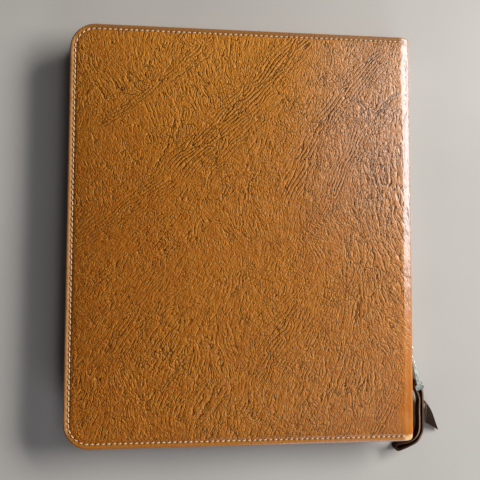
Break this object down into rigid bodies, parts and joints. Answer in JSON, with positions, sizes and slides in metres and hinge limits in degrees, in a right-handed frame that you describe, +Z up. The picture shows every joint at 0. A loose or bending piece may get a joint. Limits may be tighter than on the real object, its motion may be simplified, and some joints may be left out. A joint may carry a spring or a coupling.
{
  "type": "leather zip sleeve bag",
  "caption": "Flat tan leather zip sleeve lying on its back, with a stitched three-sided gusset, a zip in the fourth side and a metal puller with a dark leather pull loop",
  "frame": {"origin": "on the flat underside of the back panel, midway between its left edge and the zip-side roll and midway along its length", "axes": "+X points to the zip side, +Y runs along the zip away from the pull, +Z points up out of the front panel"},
  "size_m": [0.2427, 0.2727, 0.0204],
  "materials": {
    "tan_leather": "semi-gloss, wrinkled natural grain",
    "side_leather": "satin, fine grain",
    "zip_tape": "matt woven tape",
    "zip_metal": "antique nickel, lightly worn",
    "dark_leather": "satin, pale cut edges",
    "thread": "waxed cream sewing thread"
  },
  "bodies": {
    "root": {"front_panel": "tan_leather", "back_panel": "tan_leather", "gusset": "side_leather", "zipper_tape_front": "zip_tape", "zipper_tape_back": "zip_tape", "zipper_chain": "zip_metal", "teeth_row_front": "zip_metal", "teeth_row_back": "zip_metal", "slider": "zip_metal", "puller": "zip_metal", "pull_loop": "dark_leather", "pull_tail": "dark_leather"}
  },
  "joints": []
}
